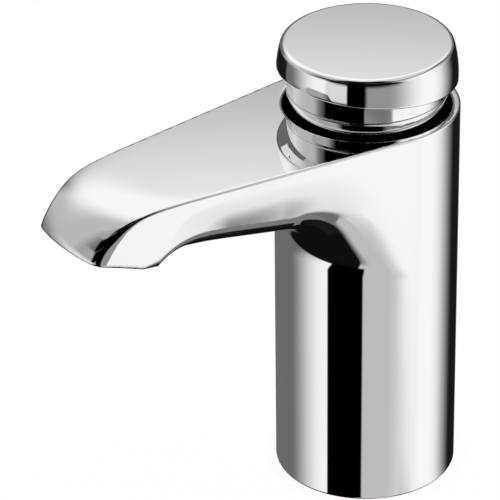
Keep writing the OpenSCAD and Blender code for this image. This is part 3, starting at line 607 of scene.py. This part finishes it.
def hexagon(name, half, bore, low, high, chamfer, slant=0.577, turns=120):
    """A hexagon nut with turned-off corners on both faces; half is half its width over flats. Sizes in mm."""
    w = 2 * math.pi * np.arange(turns) / turns
    out = half / np.cos((w + math.pi / 6) % (math.pi / 3) - math.pi / 6)
    drop = (out - chamfer) * slant
    at = lambda r, z: np.stack([np.cos(w) * r, np.sin(w) * r, z + 0 * w], 1)
    rings = np.stack([at(bore, low), at(chamfer, low), at(out, low + drop), at(out, high - drop),
                      at(chamfer, high), at(bore, high)], 1)
    return skin(name, rings, closed=True)


brass = finish(
    "machined_brass", (0.80, 0.60, 0.30), (0.70, 0.49, 0.22), 1.0, 0.20, 0.22, 60.0, 1800.0, 0.12)
tail = lathe("tail", [
    (TAIL_IN, TAIL_Z, 0.3), (CORE_R, TAIL_Z, 0.5), (CORE_R, TAIL_TOP, 0.4), (STEP_IN, TAIL_TOP, 0.3),
    (STEP_IN, STEP_Z, 0), (TAIL_IN, STEP_Z, 0)], 120)
collar = hexagon("tail_collar", COLLAR_HALF, CORE_R, 0, STEP_Z, COLLAR_CHAMFER)
fixing = wind("fixing_thread", FIXING_TURNS, CREST_R - RIDGE, FIXING_TOP - FIXING_TURNS * PITCH, FIXING_TOP,
              RIDGE, RIDGE_SIDES, brass)
inlet = wind("inlet_thread", INLET_TURNS, CREST_R - RIDGE, TAIL_Z + INLET_END,
             TAIL_Z + INLET_END + INLET_TURNS * PITCH, RIDGE, RIDGE_SIDES, brass)
for piece in (tail, collar):
    dress(piece, brass)
for piece in (tail, collar, fixing, inlet):
    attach(piece, "tap_body")
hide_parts("inlet_tail")
dress(nodes["inlet_strainer"], plastic)

# Base and deck fixings: a rubber ring in the base's recess, then a rubber washer, a steel washer and a
# brass back nut that clamp the deck from below.
(_, _, PAD_Z), (PAD_R, _, DECK_Z) = box_mm("deck_washer")
(_, _, PLATE_Z), (PLATE_R, _, _) = box_mm("clamp_washer")
(_, _, NUT_Z), (_, NUT_HALF, _) = box_mm("backnut")
SEAL_R, _, SEAL_Z = box_mm("base_gasket")[1]
WASHER_IN, SEAL_IN, NUT_CHAMFER = 10.9, 17.1, 15.8
nut = hexagon("nut", NUT_HALF, HOLE_R, NUT_Z, PLATE_Z, NUT_CHAMFER)
pad = lathe("deck_pad", [
    (WASHER_IN, PAD_Z, 0.3), (PAD_R, PAD_Z, 0.4), (PAD_R, DECK_Z, 0.4), (WASHER_IN, DECK_Z, 0.3)])
plate = lathe("clamp_plate", [
    (WASHER_IN, PLATE_Z, 0.2), (PLATE_R, PLATE_Z, 0.3), (PLATE_R, PAD_Z, 0.3), (WASHER_IN, PAD_Z, 0.2)])
seal = lathe("base_seal", [
    (SEAL_IN, 0, 0.4), (SEAL_R, 0, 0.4), (SEAL_R, SEAL_Z, 0.2), (SEAL_IN, SEAL_Z, 0.2)])
for piece, node, slot, mat in ((nut, "backnut", "brass", brass),
                               (pad, "deck_washer", "rubber", rubber),
                               (plate, "clamp_washer", "steel", steel),
                               (seal, "base_gasket", "rubber", rubber)):
    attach(piece, "tap_body")
    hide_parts(node)
    dress(piece, mat)

# Timed cartridge inside the column: plastic housing with O-rings, brass seat and bonnet, and the
# spindle with its piston and poppet. Hidden in use, so the CAD pieces only get their finishes.
for name, mat in (("cartridge_housing", plastic), ("cartridge_o_rings", rubber), ("valve_seat", brass),
                  ("bonnet", brass), ("bonnet_washer", rubber), ("spindle_bush", plastic),
                  ("spindle_o_ring", rubber), ("cap_lock_nut", steel), ("spindle", steel),
                  ("piston", plastic), ("piston_cup_seal", rubber), ("piston_nut", steel),
                  ("poppet_holder", brass), ("poppet_washer", rubber), ("poppet_nut", steel)):
    dress(nodes[name], mat)

# Return spring: one steel wire wound between the cartridge's web and the piston, built at one length on the
# body.
# The real one shortens as the button goes down.
COILS, COIL_R, COIL_LOW, COIL_HIGH, WIRE_R, WIRE_SIDES = 5.5, 8.6, 48.9, 77.1, 0.8, 12
spring = wind("spring", COILS, COIL_R, COIL_LOW, COIL_HIGH, WIRE_R, WIRE_SIDES, steel)
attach(spring, "tap_body")
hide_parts("return_spring")
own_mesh(spring)

# Floor: a white sheet under the tail and a small patch of white deck under the base, both clear when
# seen from below. The camera sees them nearly at full white, with a trace of the tap's shadow.
FLOOR_SIZE, FLOOR_GAP, DECK_R, DECK_GAP, WHITE_SHARE = 40, 0.2, 27.3, 0.05, 0.93
floor_mat = bpy.data.materials.new("floor")
floor_mat.use_nodes = True
tree = floor_mat.node_tree
paper = tree.nodes["Principled BSDF"]
paper.inputs["Base Color"].default_value = (1, 1, 1, 1)
paper.inputs["Roughness"].default_value = 1.0
paper.inputs["Specular IOR Level"].default_value = 0.0
make = lambda kind: tree.nodes.new("ShaderNode" + kind)
seen, share, white, pick = make("LightPath"), make("Math"), make("Emission"), make("MixShader")
side, clear, under = make("NewGeometry"), make("BsdfTransparent"), make("MixShader")
share.operation = "MULTIPLY"
share.inputs[1].default_value = WHITE_SHARE
tree.links.new(seen.outputs["Is Camera Ray"], share.inputs[0])
tree.links.new(share.outputs[0], pick.inputs["Fac"])
tree.links.new(paper.outputs[0], pick.inputs[1])
tree.links.new(white.outputs[0], pick.inputs[2])
tree.links.new(side.outputs["Backfacing"], under.inputs["Fac"])
tree.links.new(pick.outputs[0], under.inputs[1])
tree.links.new(clear.outputs[0], under.inputs[2])
tree.links.new(under.outputs[0], tree.nodes["Material Output"].inputs["Surface"])
bpy.ops.mesh.primitive_plane_add(size=FLOOR_SIZE, location=(0, 0, (TAIL_Z - FLOOR_GAP) * MM))
floor = bpy.context.object
floor.name = "floor"
bpy.ops.mesh.primitive_circle_add(
    vertices=96, radius=DECK_R * MM, fill_type="NGON", location=(0, 0, -DECK_GAP * MM))
deck = bpy.context.object
deck.name = "deck"
for ground in (floor, deck):
    ground.visible_glossy = False
    dress(ground, floor_mat)

# Light tent: a globe round the tap with soft banks and dark flags, which only reflections see. An angle is
# taken from the camera, to its right, and a height angle from the globe's middle. ROUND is how far the
# camera goes round the tap, and WRAP is the angle behind it where the count starts again.
TENT_R, TENT_C, TENT_BASE, ROUND, WRAP = 0.36, (0.0, -0.03, 0.06), 0.15, 53.09, 200
# Each bank or flag: brightness, angle where it starts, is full, stays full and ends, and the same in height
BANKS = (
    (0.65, (-84, -76, 998, 999), (46, 54, 90, 99)),
    (0.0, (-84, -76, 30, 44), (42, 45, 53, 57)),
    (0.52, (-138, -126, -84, -68), (-6, 20, 90, 99)),
    (1.00, (-999, -998, -140, -94), (23, 44, 90, 99)),
    (1.00, (132, 156, 998, 999), (23, 44, 90, 99)),
    (0.40, (-84, -76, -50, -34), (40, 43, 56, 62)),
    (0.40, (-84, -72, 0, 10), (13, 17, 24, 27)),
    (0.95, (-112, -54, -47.5, -46.5), (-45.5, -43.5, -20, -12)),
    (0.96, (-112, -62, -52, -40), (-12, -8, 11, 17)),
    (0.74, (-54, -44, -22, -20.5), (-12, -8, 11, 17)),
    (0.01, (-165, -160, -124, -118), (-17, -15, -6, 2)),
    (0.005, (-999, -998, 998, 999), (-99, -98, -47, -44.5)),
    (0.80, (40, 50, 60, 70), (13, 17, 24, 27)),
    (0.30, (2.5, 5, 64, 70), (-20, -16, 9, 13)),
    (0.54, (-10, -6, 64, 70), (-68, -56, -24, -19)),
    (0.01, (100, 112, 156, 160), (-60, -50, 8, 20)),
    (1.00, (28, 78, 88, 132), (-45.5, -42.5, 36, 45)),
    (0.97, (38, 43, 51, 56), (-27.5, -26, -19, -16)),
    (1.00, (40, 60, 64, 74), (-38, -22.5, -17, -14)),
    (0.16, (46, 52, 62, 68), (-66, -62, -47, -36)),
    (0.20, (60, 66, 110, 120), (-66, -62, -46, -42)),
    (0.01, (14, 30, 110, 120), (-99, -98, -72, -64)),
    (0.0, (-47.5, -46.5, -0.5, 1.5), (-51, -47, -18, -15)),
    (0.0, (-22, -20.5, 0, 4), (-19, -16, 40, 50)),
    (0.0, (-70, -58, 34, 44), (23.5, 27, 39, 42)),
    (0.0, (-50, -30, 40, 56), (52, 55, 70, 78)),
    (0.0, (-58, -40, 40, 56), (7, 11, 24, 27)),
)


def lit(angle, start, full, hold, end):
    """Share of a bank at an angle: it fades in from start to full and out from hold to end."""
    return ease((angle - start) / (full - start)) * (1 - ease((angle - hold) / (end - hold)))


bpy.ops.mesh.primitive_uv_sphere_add(segments=360, ring_count=180, radius=TENT_R, location=TENT_C)
tent = bpy.context.object
tent.name = "tent"
spots = np.empty(len(tent.data.vertices) * 3)
tent.data.vertices.foreach_get("co", spots)
x, y, z = spots.reshape(-1, 3).T
angle = (np.degrees(np.arctan2(y, x)) + 90 - ROUND + WRAP) % 360 - WRAP
height = np.degrees(np.arcsin(np.clip(z / TENT_R, -1, 1)))
glow = np.full(len(z), TENT_BASE)
for bright, across, along in BANKS:
    glow += (bright - glow) * lit(angle, *across) * lit(height, *along)
tent.data.attributes.new("glow", "FLOAT", "POINT").data.foreach_set("value", glow)
tent_mat = bpy.data.materials.new("tent")
tent_mat.use_nodes = True
tree = tent_mat.node_tree
tree.nodes.clear()
read = tree.nodes.new("ShaderNodeAttribute")
read.attribute_name = "glow"
shine = tree.nodes.new("ShaderNodeEmission")
out = tree.nodes.new("ShaderNodeOutputMaterial")
tree.links.new(read.outputs["Fac"], shine.inputs["Strength"])
tree.links.new(shine.outputs[0], out.inputs[0])
dress(tent, tent_mat)
tent.visible_camera = tent.visible_diffuse = tent.visible_shadow = tent.visible_transmission = False

# Room: even white light from all round, at a strength where a colour renders about as it is written.
world = bpy.data.worlds.new("world")
bpy.context.scene.world = world
world.use_nodes = True
world.node_tree.nodes["Background"].inputs["Color"].default_value = (1, 1, 1, 1)
bpy.context.scene.view_settings.view_transform = "Standard"

# Camera: the photo's long lens, above the spout and round to its side. The eye is in metres, before it goes
# round the tap.
YAW, DIP, ROLL = (math.radians(v) for v in (-2.04, 30.25, -0.67))
EYE, SENSOR, LENS = (0, -0.8557, 0.5618), 36, 271.7
look = np.array([math.sin(YAW) * math.cos(DIP), math.cos(YAW) * math.cos(DIP), -math.sin(DIP)])
right = np.array([math.cos(YAW), -math.sin(YAW), 0.0])
up = np.cross(right, look)
right, up = math.cos(ROLL) * right + math.sin(ROLL) * up, math.cos(ROLL) * up - math.sin(ROLL) * right
camera = bpy.data.objects.new("camera", bpy.data.cameras.new("camera"))
bpy.context.scene.collection.objects.link(camera)
pose = Matrix.Identity(4)
for n, v in enumerate((right, up, -look, EYE)):
    pose.col[n][:3] = v
camera.matrix_world = Matrix.Rotation(math.radians(ROUND), 4, "Z") @ pose
camera.data.sensor_width = SENSOR
camera.data.lens = LENS
camera.data.clip_start = 0.05
bpy.context.scene.camera = camera
